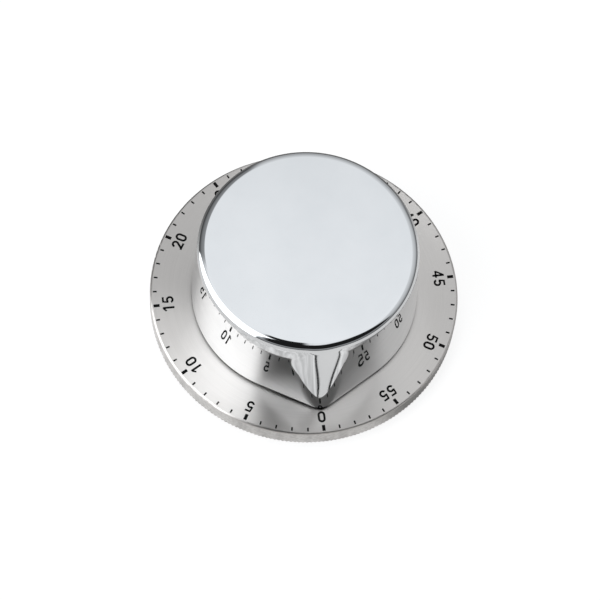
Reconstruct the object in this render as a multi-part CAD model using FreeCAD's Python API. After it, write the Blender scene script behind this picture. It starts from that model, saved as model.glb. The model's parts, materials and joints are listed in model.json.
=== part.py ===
"""Mechanical kitchen timer: a steel dial on a plastic tray, and a chromed pointer knob over a clockwork.

Millimetres, +Z up, origin at the centre of the underside. Minute 0 of the dial points to -Y and the
minutes run clockwise seen from above. The wheels stand in mesh as drawn.
"""
import FreeCAD, Part
import math
import os

V = FreeCAD.Vector
AXIS = V(0, 0, 0)

# ---- outside: dial shell, tray and knob ----
DIAL_RADIUS = 39.0
RIM_HEIGHT = 5.5
RIM_ROUND = 0.6
SHEET = 0.5
FOOT_PROUD = 0.3
DIAL_HOLE_GAP = 0.2
LIP_WIDTH = 2.1
KNURL_TEETH = 240
KNURL_DEPTH = 0.18
KNURL_HEIGHT = 1.1

TRAY_FLOOR = 1.4
TRAY_WALL = 1.4
TRAY_RECESS = 0.6
TRAY_FIT = 0.1
FOOT_WIDTH = 3.2
FOOT_GAP = 0.3
COLLAR_OUTSIDE_BOSS = 1.0
COLLAR_WALL = 1.4
COLLAR_ABOVE_DIAL = 2.7
RIBS = 16
RIB_WIDTH = 1.0
DRIVER_SLOT_WIDTH = 0.5
DRIVER_SLOT_DEPTH = 0.5

MAGNETS = 4
MAGNET_RADIUS = 3.8
MAGNET_THICKNESS = 2.5
MAGNET_IN_COLLAR = 0.1
MAGNET_SUNK = 0.1
MAGNET_FIT = 0.05
POCKET_WALL = 1.0

KNOB_GAP = 0.4
KNOB_COLLAR_GAP = 1.25
KNOB_NUT_GAP = 1.4
KNOB_WALL = 1.6
KNOB_EDGE_ROUND = 1.7
POINTER_LENGTH = 4.05
POINTER_TIP_RADIUS = 0.4
POINTER_TOP_RADIUS = 18.9
POINTER_TOP_LENGTH = 0.46
POINTER_FLARE = 1.92
POINTER_BLUNTING = 0.4
POINTER_SECTIONS = 6
KNOB_BOSS_RADIUS = 3.6
KNOB_BOSS_LENGTH = 3.6
KNOB_RIBS = 6
KNOB_RIB_WIDTH = 1.0
KNOB_RIB_DEPTH = 1.2
KNOB_CLIP_WIRE = 0.5
KNOB_CLIP_WIDTH = 1.0
KNOB_CLIP_RISE = 0.6
CLIP_OPENING = 1.6

# ---- gong under the movement ----
GONG_GAP = 0.3
GONG_HEIGHT = 5.2
GONG_THICKNESS = 0.9
GONG_CORNER = 3.0
GONG_STANDOFF = 1.4
GONG_BOSS_RADIUS = 3.2
GONG_SCREW_RADIUS = 0.9
GONG_SCREW_HEAD = 1.2
GONG_SCREW_DEPTH = 2.6
SLOTS = 16
SLOT_WIDTH = 1.5
SLOT_INNER = 7.0
SLOT_INSIDE_GONG = 2.5

# ---- movement frame ----
MOVEMENT_CLEAR = 0.9
PLATE_BEYOND_PILLARS = 2.0
PLATE_THICKNESS = 1.0
PILLARS = 4
PILLAR_GAP = 0.65
PILLAR_RADIUS = 1.6
PILLAR_TENON = 0.9
PILLAR_ANGLE = 33.0
PILLAR_RIVET = 0.3
PILLAR_RIVET_RADIUS = 1.3
PILLAR_THREAD_PROUD = 0.3
NUT_HEIGHT = 1.1
NUT_RADIUS = 2.2
SCALLOP_RADIUS = 9.0
SCALLOP_DEPTH = 1.8
SCALLOP_ANGLE = 153.0
BOSSES = 3
BOSS_INSIDE_PLATE = 2.0
BOSS_RADIUS = 2.7
BOSS_ANGLE = 78.0
SCREW_RADIUS = 1.0
SCREW_HEAD_RADIUS = 1.8
SCREW_HEAD_HEIGHT = 1.2
SCREW_HEAD_SUNK = 0.4
SCREW_HEAD_FIT = 0.15
SCREW_PROUD = 0.5
SCREW_FIT = 0.08

RUNNING_FIT = 0.05
END_SHAKE = 0.1
PIVOT_RADIUS = 0.5
PIVOT_PROUD = 0.2
STAFF_RADIUS = 0.75
SHOULDER_RADIUS = 1.3

# ---- wheels ----
PRESSURE_ANGLE = math.radians(20)
BACKLASH = 0.06
PINION_TIP_TRIM = 0.18
DEDENDUM = 1.25
WHEEL_THICKNESS = 0.6
PINION_OVERHANG = 0.3
MAIN_THICKNESS = 1.0
HUB_SHARE = 0.27
RIM_SHARE = 0.82
SPOKES = 4
SPOKE_WIDTH = 1.2

MAIN_TEETH = 80
SECOND_PINION_TEETH = 10
SECOND_TEETH = 60
THIRD_PINION_TEETH = 8
THIRD_TEETH = 64
ESCAPE_PINION_TEETH = 8
STRIKE_PINION_TEETH = 10
MAIN_MODULE = 0.30
SECOND_MODULE = 0.28
THIRD_MODULE = 0.26

SECOND_ANGLE = -30.0
STRIKE_ANGLE = 205.0

# ---- main arbor ----
ARBOR_RADIUS = 2.4
SEAT_RADIUS = 2.0
TOP_JOURNAL = 1.8
DRIVE_RADIUS = 1.7
DRIVE_FLAT = 1.1
LOWER_JOURNAL = 1.3
BUSH_WALL = 1.1
BUSH_PROUD = 0.2
ARBOR_CLIP_RADIUS = 2.6
ARBOR_CLIP_THICKNESS = 0.4
GROOVE_RADIUS = 0.9
GROOVE_WIDTH = 0.5
ARBOR_END = 0.4
DRIVE_END_GAP = 0.3
DRIVE_FIT = 0.03

# ---- mainspring ----
SPRING_HEIGHT = 4.2
SPRING_THICKNESS = 0.25
SPRING_TURNS = 6
SPRING_STUD_RADIUS = 0.7
STUD_TENON = 0.5
SPRING_STUD_CIRCLE = 10.4
SPRING_STUD_ANGLE = 150.0

# ---- ratchet and click ----
RATCHET_TEETH = 12
RATCHET_RADIUS = 4.6
RATCHET_ROOT = 3.8
RATCHET_THICKNESS = 0.7
CLICK_CIRCLE = 8.2
CLICK_ANGLE = 100.0
CLICK_BITE = 4.3
CLICK_HUB = 1.1
CLICK_ARM = 1.0
CLICK_PLAY = 1.0
CLICK_NOSE_DEPTH = 0.35
CLICK_NOSE_RISE = 0.75
CLICK_NOSE_LENGTH = 1.8
CLICK_HEEL = 0.1
CLICK_ARM_OFFSET = 0.5
CLICK_RIVET_HEAD = 0.9
CLICK_SPRING_OUT = 1.4
CLICK_SPRING_BEHIND = 8.0
CLICK_SPRING_TOUCH = 2.5
LIGHTENING_RADIUS = 1.6
LIGHTENING_CIRCLE = 7.6
STACK_GAP = 0.1

# ---- escapement ----
ESCAPE_TEETH = 12
ESCAPE_RADIUS = 5.5
ESCAPE_ROOT = 4.1
ESCAPE_TOOTH_TIP = 0.24
ESCAPE_TOOTH_ROOT = 1.2
ESCAPE_HUB = 1.65
ESCAPE_RIM = 3.2
ESCAPE_SPOKES = 3
ESCAPE_SPOKE_WIDTH = 0.9
ESCAPE_SPAN_PITCHES = 2.5
PALLET_PIN_RADIUS = 0.3
PALLET_GAP = 0.1
PALLET_THICKNESS = 0.5
PALLET_PIN_BELOW = 0.2
BALANCE_SPRING_GAP = 0.4
BALANCE_STAFF_GAP = 0.49
BALANCE_RIM = 1.4
BALANCE_THICKNESS = 1.2
BALANCE_HUB = 1.5
BALANCE_ABOVE_PLATE = 1.6

# ---- alarm ----
STAR_TEETH = 15
STAR_RADIUS = 5.5
STAR_ROOT = 4.4
STAR_TOOTH_TIP = 0.3
STAR_TOOTH_ROOT = 1.0
STAR_THICKNESS = 0.8
HAMMER_CIRCLE = 16.0
HAMMER_FROM_STAR = 7.5
HAMMER_REACH = 8.9
HAMMER_HEAD_RADIUS = 1.5
HAMMER_HEAD_HEIGHT = 2.8
HAMMER_GAP = 1.35
HAMMER_ARM_THICKNESS = 0.6
HAMMER_OVER_GONG = 0.05
KICK_LENGTH = 2.7
KICK_WIDTH = 0.9
KICK_ABOVE_PLATE = 3.2
KICK_THICKNESS = 0.8
TAIL_ELBOW = 1.2
CATCH_LENGTH = 3.4
CATCH_GAP = 0.8
TAIL_NOSE = 0.35
TAIL_GAP = 0.12
ARM_WIDTH = 1.1

CAM_RADIUS = 6.2
CAM_NOTCH_DEPTH = 1.5
CAM_THICKNESS = 0.8
CAM_NOTCH_BEHIND = 20.0
CAM_NOTCH_AHEAD = 18.0
CAM_RAMP = 14.0
LEVER_WHEEL_GAP = 1.07
LEVER_ANGLE = 275.0
LEVER_NOSE_ANGLE = 240.0
LEVER_NOSE_RADIUS = 0.6
LEVER_GAP = 0.15
LEAF = 0.2
LEAF_WIDTH = 1.2

# ---- travel stop ----
KNOB_TRAVEL = 351.0
STOP_CIRCLE = 11.0
STOP_DEPTH = 1.4
STOP_TAB_HEIGHT = 1.2
STOP_ANGLE = 180.0
STOP_CLEARANCE = 0.06
STOP_ARM_THICKNESS = 0.8
STOP_HUB_RADIUS = 3.4
STOP_ARM_WIDTH = 3.0
STOP_LUG_ROOT = 3.0

# ---- gaps between the levels ----
SPRING_ABOVE_PLATE = 0.8
MAIN_ABOVE_SPRING = 0.5
SECOND_ABOVE_CLICK = 0.5
WHEEL_STEP = 1.0
CAM_ABOVE_THIRD = 0.7
PALLET_ABOVE_ESCAPE = 0.25
PALLET_UNDER_PLATE = 0.45

# ---- levels, from the resting face upward ----
RIM_Z = FOOT_PROUD
LIP_TOP_Z = RIM_Z + SHEET
DIAL_Z = RIM_Z + RIM_HEIGHT
DIAL_BACK_Z = DIAL_Z - SHEET
FLOOR_Z = TRAY_RECESS + TRAY_FLOOR
GONG_Z = FLOOR_Z + GONG_STANDOFF
GONG_RIM_Z = GONG_Z + GONG_HEIGHT
LOWER_PLATE_Z = GONG_RIM_Z + MOVEMENT_CLEAR
LOWER_TOP_Z = LOWER_PLATE_Z + PLATE_THICKNESS
SPRING_Z = LOWER_TOP_Z + SPRING_ABOVE_PLATE
MAIN_Z = SPRING_Z + SPRING_HEIGHT + MAIN_ABOVE_SPRING
RATCHET_Z = MAIN_Z + MAIN_THICKNESS + STACK_GAP
CLICK_TOP_Z = RATCHET_Z + RATCHET_THICKNESS
SECOND_Z = CLICK_TOP_Z + SECOND_ABOVE_CLICK
THIRD_Z = SECOND_Z + WHEEL_THICKNESS + WHEEL_STEP
ESCAPE_Z = THIRD_Z + WHEEL_THICKNESS + WHEEL_STEP
STAR_Z = SECOND_Z
CAM_Z = THIRD_Z + WHEEL_THICKNESS + CAM_ABOVE_THIRD
PALLET_Z = ESCAPE_Z + WHEEL_THICKNESS + PALLET_ABOVE_ESCAPE
UPPER_PLATE_Z = PALLET_Z + PALLET_THICKNESS + PALLET_UNDER_PLATE
UPPER_TOP_Z = UPPER_PLATE_Z + PLATE_THICKNESS
BALANCE_Z = LOWER_TOP_Z + BALANCE_ABOVE_PLATE
STOP_Z = UPPER_TOP_Z + BUSH_PROUD + STACK_GAP
HAMMER_Z = GONG_RIM_Z + HAMMER_OVER_GONG
KNOB_Z = DIAL_Z + KNOB_GAP
BOSS_Z = STOP_Z + STOP_ARM_THICKNESS + STACK_GAP
CEILING_Z = BOSS_Z + KNOB_BOSS_LENGTH
KNOB_TOP_Z = CEILING_Z + KNOB_WALL
DRIVE_END_Z = CEILING_Z - DRIVE_END_GAP

SCREW_HEAD_TOP = TRAY_RECESS + SCREW_HEAD_SUNK + SCREW_HEAD_HEIGHT
SCREW_HEAD_Z = SCREW_HEAD_TOP - SCREW_HEAD_HEIGHT
GONG_SCREW_Z = GONG_Z - GONG_SCREW_DEPTH + STACK_GAP

TRAY_RADIUS = DIAL_RADIUS - SHEET - TRAY_FIT


# ---- helpers ----
def polar(radius, degrees, origin=AXIS):
    angle = math.radians(degrees)
    return V(origin.x + radius * math.cos(angle), origin.y + radius * math.sin(angle), 0)


def direction(start, end):
    return math.degrees(math.atan2(end.y - start.y, end.x - start.x))


def triangle_angle(side_a, side_b, opposite):
    """Angle in degrees between two sides of a triangle whose third side is given."""
    return math.degrees(math.acos((side_a**2 + side_b**2 - opposite**2) / (2 * side_a * side_b)))


def cylinder(radius, low, high, at=AXIS):
    return Part.makeCylinder(radius, high - low, V(at.x, at.y, low))


def ring(outer, inner, low, high, at=AXIS):
    return cylinder(outer, low, high, at).cut(cylinder(inner, low, high, at))


def prism(points, low, high):
    corners = [V(p.x, p.y, low) for p in points]
    return Part.Face(Part.makePolygon(corners + corners[:1])).extrude(V(0, 0, high - low))


def box(x_low, x_high, y_low, y_high, low, high):
    return Part.makeBox(x_high - x_low, y_high - y_low, high - low, V(x_low, y_low, low))


def turned(profile, at=AXIS):
    """Solid of revolution from (radius, height) points."""
    corners = [V(radius, 0, height) for radius, height in profile]
    solid = Part.Face(Part.makePolygon(corners + corners[:1])).revolve(V(0, 0, 0), V(0, 0, 1), 360)
    solid.translate(V(at.x, at.y, 0))
    return solid


def stepped(at, low, steps):
    """Round staff that starts at a height and goes through (radius, top height) steps."""
    profile = [(0, low)]
    for radius, high in steps:
        profile += [(radius, low), (radius, high)]
        low = high
    return turned(profile + [(0, low)], at)


def joined(shapes):
    return shapes[0].fuse(shapes[1:]).removeSplitter()


def bar(start, end, width, low, high):
    """Flat arm with round ends."""
    half = width / 2
    along = V(end.x - start.x, end.y - start.y, 0).normalize()
    side = V(-along.y, along.x, 0) * half
    middle = prism([start + side, start - side, end - side, end + side], low, high)
    return joined([middle, cylinder(half, low, high, start), cylinder(half, low, high, end)])


def around(shape, count, first=0.0):
    """Copies of a shape, evenly turned about the main axis."""
    copies = []
    for index in range(count):
        copy = shape.copy()
        copy.rotate(V(0, 0, 0), V(0, 0, 1), first + 360 * index / count)
        copies.append(copy)
    return copies


def save(name, shape):
    shape.exportStep(f"parts/{name}.step")


# ---- gear forms ----
def involute(angle):
    return math.tan(angle) - angle


def profile_shift(pinion_teeth):
    """The shift that keeps a small pinion free of undercut; its wheel takes the opposite shift."""
    return (17 - pinion_teeth) / 17


def pitch_distance(module, wheel_teeth, pinion_teeth):
    return module * (wheel_teeth + pinion_teeth) / 2


def wheel_tip(module, teeth, pinion_teeth):
    return module * (teeth / 2 + 1 - profile_shift(pinion_teeth))


def gear_outline(teeth, module, shift, tip_trim, at, phase):
    """Involute teeth as a closed outline; one tooth points along the phase angle."""
    pitch = module * teeth / 2
    base = pitch * math.cos(PRESSURE_ANGLE)
    root = pitch - module * (DEDENDUM - shift)
    tip = pitch + module * (1 + shift - tip_trim)
    start = max(base, root)
    half = math.pi / 2 / teeth + 2 * shift * math.tan(PRESSURE_ANGLE) / teeth - BACKLASH / 4 / pitch
    flank = []
    for radius in (start, (start + tip) / 2, tip):
        flank.append((radius, half + involute(PRESSURE_ANGLE) - involute(math.acos(base / radius))))
    if base > root:
        flank.insert(0, (root, flank[0][1]))
    points = []
    for tooth in range(teeth):
        centre = phase + 360 * tooth / teeth
        points += [polar(radius, centre - math.degrees(angle), at) for radius, angle in flank]
        points += [polar(radius, centre + math.degrees(angle), at) for radius, angle in reversed(flank)]
    return points


def wheel(teeth, module, pinion_teeth, at, phase, low, high):
    return prism(gear_outline(teeth, module, -profile_shift(pinion_teeth), 0, at, phase), low, high)


def pinion(teeth, module, at, phase, low, high):
    shift = profile_shift(teeth)
    return prism(gear_outline(teeth, module, shift, PINION_TIP_TRIM, at, phase), low, high)


def mesh_phase(teeth, towards_wheel):
    """Phase that puts a gap of the pinion on the line to its wheel."""
    return towards_wheel + 180 / teeth


def pointed_wheel(teeth, radius, root, tip_width, root_width, at, phase, low, high):
    """Star-like wheel with slender straight-sided teeth."""
    root_angle = math.degrees(math.asin(root_width / 2 / root))
    tip_angle = math.degrees(math.asin(tip_width / 2 / radius))
    points = []
    for tooth in range(teeth):
        centre = phase + 360 * tooth / teeth
        points.append(polar(root, centre - root_angle, at))
        points.append(polar(radius, centre - tip_angle, at))
        points.append(polar(radius, centre + tip_angle, at))
        points.append(polar(root, centre + root_angle, at))
    return prism(points, low, high)


def crossed(body, at, hub, rim, spokes, spoke_width, low, high):
    """Cuts the windows between the spokes of a wheel."""
    windows = ring(rim, hub, low, high, at)
    for index in range(spokes):
        windows = windows.cut(bar(at, polar(rim * 1.2, 360 * index / spokes, at), spoke_width, low, high))
    return body.cut(windows)


# ---- places of the arbors ----
ARBOR_CIRCLE = pitch_distance(MAIN_MODULE, MAIN_TEETH, SECOND_PINION_TEETH)
SECOND_TO_THIRD = pitch_distance(SECOND_MODULE, SECOND_TEETH, THIRD_PINION_TEETH)
THIRD_TO_ESCAPE = pitch_distance(THIRD_MODULE, THIRD_TEETH, ESCAPE_PINION_TEETH)
THIRD_ANGLE = SECOND_ANGLE + triangle_angle(ARBOR_CIRCLE, ARBOR_CIRCLE, SECOND_TO_THIRD)
ESCAPE_ANGLE = THIRD_ANGLE + triangle_angle(ARBOR_CIRCLE, ARBOR_CIRCLE, THIRD_TO_ESCAPE)
SECOND = polar(ARBOR_CIRCLE, SECOND_ANGLE)
THIRD = polar(ARBOR_CIRCLE, THIRD_ANGLE)
ESCAPE = polar(ARBOR_CIRCLE, ESCAPE_ANGLE)
STRIKE = polar(ARBOR_CIRCLE, STRIKE_ANGLE)

# ---- radii of the frame and the knob, from the wheel train outward ----
# The first pillar clears the tips of the third wheel; plates, bosses, collar and knob follow it.
TO_PILLAR = wheel_tip(THIRD_MODULE, THIRD_TEETH, ESCAPE_PINION_TEETH) + PILLAR_GAP + PILLAR_RADIUS
PILLAR_FROM_THIRD = math.radians(PILLAR_ANGLE - THIRD_ANGLE)
PILLAR_OFFSET = ARBOR_CIRCLE * math.sin(PILLAR_FROM_THIRD)
PILLAR_CIRCLE = ARBOR_CIRCLE * math.cos(PILLAR_FROM_THIRD) + math.sqrt(TO_PILLAR**2 - PILLAR_OFFSET**2)
PLATE_RADIUS = PILLAR_CIRCLE + PLATE_BEYOND_PILLARS
BOSS_CIRCLE = PLATE_RADIUS - BOSS_INSIDE_PLATE
GONG_RADIUS = BOSS_CIRCLE - BOSS_RADIUS - GONG_GAP
SLOT_OUTER = GONG_RADIUS - SLOT_INSIDE_GONG
COLLAR_RADIUS = BOSS_CIRCLE + BOSS_RADIUS + COLLAR_OUTSIDE_BOSS
MAGNET_CIRCLE = COLLAR_RADIUS + MAGNET_RADIUS - MAGNET_IN_COLLAR
KNOB_BASE_RADIUS = COLLAR_RADIUS + KNOB_COLLAR_GAP + KNOB_WALL
KNOB_TOP_RADIUS = PILLAR_CIRCLE + NUT_RADIUS + KNOB_NUT_GAP + KNOB_WALL

# The pallet pins leave the escape wheel along its radius, so the balance stands where the tangents
# through the two pins meet.
PIN_SPREAD = math.radians(360 / ESCAPE_TEETH * ESCAPE_SPAN_PITCHES / 2)
PIN_CIRCLE = ESCAPE_RADIUS + PALLET_PIN_RADIUS + PALLET_GAP
ESCAPE_TO_BALANCE = PIN_CIRCLE / math.cos(PIN_SPREAD)
BALANCE_RADIUS = ESCAPE_TO_BALANCE - STAFF_RADIUS - BALANCE_STAFF_GAP
BALANCE_CIRCLE = SPRING_STUD_CIRCLE + BALANCE_SPRING_GAP + BALANCE_RADIUS
BALANCE_ANGLE = ESCAPE_ANGLE + triangle_angle(ARBOR_CIRCLE, BALANCE_CIRCLE, ESCAPE_TO_BALANCE)
BALANCE = polar(BALANCE_CIRCLE, BALANCE_ANGLE)

# The hammer's tail leaves the star wheel along its radius in the same way.
HAMMER_ANGLE = STRIKE_ANGLE + triangle_angle(ARBOR_CIRCLE, HAMMER_CIRCLE, HAMMER_FROM_STAR)
HAMMER = polar(HAMMER_CIRCLE, HAMMER_ANGLE)
TAIL_CIRCLE = STAR_RADIUS + TAIL_NOSE + TAIL_GAP
TAIL_ANGLE = direction(STRIKE, HAMMER) + math.degrees(math.acos(TAIL_CIRCLE / HAMMER_FROM_STAR))
TAIL = polar(TAIL_CIRCLE, TAIL_ANGLE, STRIKE)
HEAD_CIRCLE = GONG_RADIUS - GONG_THICKNESS - HAMMER_HEAD_RADIUS - HAMMER_GAP
HEAD = polar(HEAD_CIRCLE, HAMMER_ANGLE - triangle_angle(HEAD_CIRCLE, HAMMER_CIRCLE, HAMMER_REACH))
LEVER_CIRCLE = wheel_tip(MAIN_MODULE, MAIN_TEETH, SECOND_PINION_TEETH) + LEVER_WHEEL_GAP + STAFF_RADIUS
LEVER = polar(LEVER_CIRCLE, LEVER_ANGLE)
LEVER_NOSE = polar(CAM_RADIUS + LEVER_GAP + LEVER_NOSE_RADIUS, LEVER_NOSE_ANGLE)
PIVOTED = (SECOND, THIRD, ESCAPE, STRIKE, BALANCE, LEVER)


# ---- outside ----
def knurled_band():
    """Fine teeth around the lower edge of the rim, for grip."""
    points = []
    for tooth in range(KNURL_TEETH):
        points.append(polar(DIAL_RADIUS, 360 * tooth / KNURL_TEETH))
        points.append(polar(DIAL_RADIUS - KNURL_DEPTH, 360 * (tooth + 0.5) / KNURL_TEETH))
    band = prism(points, RIM_Z, RIM_Z + KNURL_HEIGHT)
    return band.cut(cylinder(DIAL_RADIUS - SHEET, RIM_Z, RIM_Z + KNURL_HEIGHT))


def dial_shell():
    """Drawn steel dial: flat face, rounded edge, short wall and a lip turned in under the tray."""
    wall_z = RIM_Z + KNURL_HEIGHT
    blank = cylinder(DIAL_RADIUS, wall_z, DIAL_Z)
    edge = [e for e in blank.Edges if abs(e.BoundBox.ZMin - DIAL_Z) < 1e-6 and e.BoundBox.XLength > DIAL_RADIUS]
    blank = blank.makeFillet(RIM_ROUND, edge)
    blank = blank.cut(cylinder(DIAL_RADIUS - SHEET, wall_z, DIAL_BACK_Z))
    blank = blank.cut(cylinder(COLLAR_RADIUS + DIAL_HOLE_GAP, DIAL_BACK_Z, DIAL_Z))
    lip = ring(DIAL_RADIUS - SHEET, DIAL_RADIUS - LIP_WIDTH, RIM_Z, LIP_TOP_Z)
    return joined([blank, knurled_band(), lip])


def back_tray():
    """Moulded tray: foot ring, ribs under the dial, collar, screw bosses, magnet pockets, sound slots."""
    foot_outer = DIAL_RADIUS - LIP_WIDTH - FOOT_GAP
    foot_inner = foot_outer - FOOT_WIDTH
    profile = [(0, TRAY_RECESS), (foot_inner, TRAY_RECESS), (foot_inner, 0), (foot_outer, 0)]
    profile += [(foot_outer, LIP_TOP_Z), (TRAY_RADIUS, LIP_TOP_Z), (TRAY_RADIUS, DIAL_BACK_Z)]
    profile += [(TRAY_RADIUS - TRAY_WALL, DIAL_BACK_Z), (TRAY_RADIUS - TRAY_WALL, FLOOR_Z), (0, FLOOR_Z)]
    collar_inner = COLLAR_RADIUS - COLLAR_WALL
    collar = ring(COLLAR_RADIUS, collar_inner, TRAY_RECESS, DIAL_Z + COLLAR_ABOVE_DIAL)
    half = RIB_WIDTH / 2
    rib_ends = (COLLAR_RADIUS - COLLAR_WALL / 2, TRAY_RADIUS - TRAY_WALL / 2)
    rib = box(*rib_ends, -half, half, LIP_TOP_Z, DIAL_BACK_Z)
    boss = cylinder(BOSS_RADIUS, TRAY_RECESS, LOWER_PLATE_Z, polar(BOSS_CIRCLE, 0))
    magnet_top = MAGNET_SUNK + MAGNET_THICKNESS
    pocket_top = magnet_top + POCKET_WALL
    pocket = cylinder(MAGNET_RADIUS + POCKET_WALL, TRAY_RECESS, pocket_top, polar(MAGNET_CIRCLE, 0))
    gong_boss = cylinder(GONG_BOSS_RADIUS, TRAY_RECESS, GONG_Z)
    magnet_first = 180 / MAGNETS
    body = [turned(profile), collar, gong_boss]
    body += around(rib, RIBS, 180 / RIBS)
    body += around(boss, BOSSES, BOSS_ANGLE)
    body += around(pocket, MAGNETS, magnet_first)
    tray = joined(body)

    magnet_hole = cylinder(MAGNET_RADIUS + MAGNET_FIT, 0, magnet_top, polar(MAGNET_CIRCLE, 0))
    screw_hole = cylinder(SCREW_RADIUS + SCREW_FIT, 0, LOWER_PLATE_Z, polar(BOSS_CIRCLE, 0))
    head_hole = cylinder(SCREW_HEAD_RADIUS + SCREW_HEAD_FIT, 0, SCREW_HEAD_TOP, polar(BOSS_CIRCLE, 0))
    slot = bar(polar(SLOT_INNER, 0), polar(SLOT_OUTER, 0), SLOT_WIDTH, 0, FLOOR_Z)
    cuts = around(magnet_hole, MAGNETS, magnet_first)
    cuts += around(screw_hole, BOSSES, BOSS_ANGLE)
    cuts += around(head_hole, BOSSES, BOSS_ANGLE)
    cuts += around(slot, SLOTS)
    cuts.append(cylinder(GONG_SCREW_RADIUS + SCREW_FIT, GONG_Z - GONG_SCREW_DEPTH, GONG_Z))
    return tray.cut(cuts)


def magnets():
    magnet = cylinder(MAGNET_RADIUS, MAGNET_SUNK, MAGNET_SUNK + MAGNET_THICKNESS, polar(MAGNET_CIRCLE, 0))
    return Part.makeCompound(around(magnet, MAGNETS, 180 / MAGNETS))


def tray_screws():
    """Screws from below that hold the movement's lower plate on the tray's bosses."""
    at = polar(BOSS_CIRCLE, 0)
    steps = [(SCREW_HEAD_RADIUS, SCREW_HEAD_TOP), (SCREW_RADIUS, LOWER_TOP_Z + SCREW_PROUD)]
    screw = stepped(at, SCREW_HEAD_Z, steps)
    half = DRIVER_SLOT_WIDTH / 2
    ends = (at.x - SCREW_HEAD_RADIUS, at.x + SCREW_HEAD_RADIUS)
    slot = box(*ends, -half, half, SCREW_HEAD_Z, SCREW_HEAD_Z + DRIVER_SLOT_DEPTH)
    return Part.makeCompound(around(screw.cut(slot), BOSSES, BOSS_ANGLE))


def gong():
    """Shallow steel bell that stands open upward; the hammer strikes its wall from inside."""
    outer = cylinder(GONG_RADIUS, GONG_Z, GONG_RIM_Z)
    inner = cylinder(GONG_RADIUS - GONG_THICKNESS, GONG_Z + GONG_THICKNESS, GONG_RIM_Z)

    def rounded(solid, low, radius):
        edge = [e for e in solid.Edges if abs(e.BoundBox.ZMax - low) < 1e-6]
        return solid.makeFillet(radius, edge)

    outer = rounded(outer, GONG_Z, GONG_CORNER)
    inner = rounded(inner, GONG_Z + GONG_THICKNESS, GONG_CORNER - GONG_THICKNESS)
    return outer.cut(inner).cut(cylinder(GONG_SCREW_RADIUS + SCREW_FIT, GONG_Z, GONG_RIM_Z))


def gong_screw():
    head_z = GONG_Z + GONG_THICKNESS
    steps = [(GONG_SCREW_RADIUS, head_z), (GONG_SCREW_RADIUS * 2, head_z + GONG_SCREW_HEAD)]
    return stepped(AXIS, GONG_SCREW_Z, steps)


# ---- knob ----
def teardrop(radius, nose_radius, flank, z):
    """Round outline drawn out to a pointer at -Y: back arc, flank, nose arc, flank."""
    right = V(math.sin(flank), -math.cos(flank), 0)
    left = V(-right.x, right.y, 0)
    level = V(0, 0, z)
    nose = V(0, -(radius - nose_radius) / math.cos(flank), z)
    back_right = level + right * radius
    back_left = level + left * radius
    nose_left = nose + left * nose_radius
    nose_right = nose + right * nose_radius
    back = Part.Arc(back_right, V(0, radius, z), back_left).toShape()
    front = Part.Arc(nose_left, nose + V(0, -nose_radius, 0), nose_right).toShape()
    flank_left = Part.makeLine(back_left, nose_left)
    flank_right = Part.makeLine(nose_right, back_right)
    return Part.Wire([back, flank_left, front, flank_right])


def knob_radius(z):
    taper = (KNOB_BASE_RADIUS - KNOB_TOP_RADIUS) / (KNOB_TOP_Z - KNOB_Z)
    return KNOB_BASE_RADIUS - taper * (z - KNOB_Z)


def knob_section(z, inset):
    """Outline of the knob at a height; the pointer draws in and grows blunt above its tip."""
    rise = (z - KNOB_Z) / (KNOB_TOP_Z - KNOB_Z)
    radius = knob_radius(z)
    length = POINTER_LENGTH * (1 - rise) ** POINTER_FLARE + POINTER_TOP_LENGTH * rise
    nose = POINTER_TIP_RADIUS + (POINTER_TOP_RADIUS - POINTER_TIP_RADIUS) * rise**POINTER_BLUNTING
    flank = math.acos((radius - nose) / (radius - nose + length))
    return teardrop(radius - inset, max(nose - inset, POINTER_TIP_RADIUS), flank, z)


def knob_body(top, inset):
    """Loft from the mouth up to a height; the sections stand closest at the pointer's tip."""
    steps = [(i / POINTER_SECTIONS) ** 2 for i in range(POINTER_SECTIONS + 1)]
    sections = [knob_section(KNOB_Z + (top - KNOB_Z) * step, inset) for step in steps]
    return Part.makeLoft(sections, True, False)


def knob_shell():
    """Hollow cap whose round wall runs out into a flared pointer at its mouth."""
    outside = knob_body(KNOB_TOP_Z, 0)
    top_edges = [e for e in outside.Edges if e.BoundBox.ZMin > KNOB_TOP_Z - 1e-3]
    outside = outside.makeFillet(KNOB_EDGE_ROUND, top_edges)
    shell = outside.cut(knob_body(CEILING_Z, KNOB_WALL))

    ceiling_radius = knob_radius(CEILING_Z) - KNOB_WALL
    boss = cylinder(KNOB_BOSS_RADIUS, BOSS_Z, CEILING_Z + KNOB_WALL / 2)
    half = KNOB_RIB_WIDTH / 2
    rib_end = ceiling_radius + KNOB_WALL / 2
    rib = box(0, rib_end, -half, half, CEILING_Z - KNOB_RIB_DEPTH, CEILING_Z + KNOB_WALL / 2)
    shell = joined([shell, boss] + around(rib, KNOB_RIBS, 180 / KNOB_RIBS))
    return shell.cut(drive_form(DRIVE_FIT, BOSS_Z, DRIVE_END_Z + DRIVE_FIT))


def drive_form(fit, low, high):
    """D-shaped end of the main arbor, grown by a fit."""
    reach = KNOB_BOSS_RADIUS
    flat = box(-reach, reach, DRIVE_FLAT + fit, reach, low, high)
    return cylinder(DRIVE_RADIUS + fit, low, high).cut(flat)


def knob_clip():
    """Wire ring that closes the knob's boss on the arbor."""
    low = BOSS_Z + KNOB_CLIP_RISE
    high = low + KNOB_CLIP_WIDTH
    outer = KNOB_BOSS_RADIUS + KNOB_CLIP_WIRE
    half = CLIP_OPENING / 2
    return ring(outer, KNOB_BOSS_RADIUS, low, high).cut(box(-half, half, -outer, 0, low, high))


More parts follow.
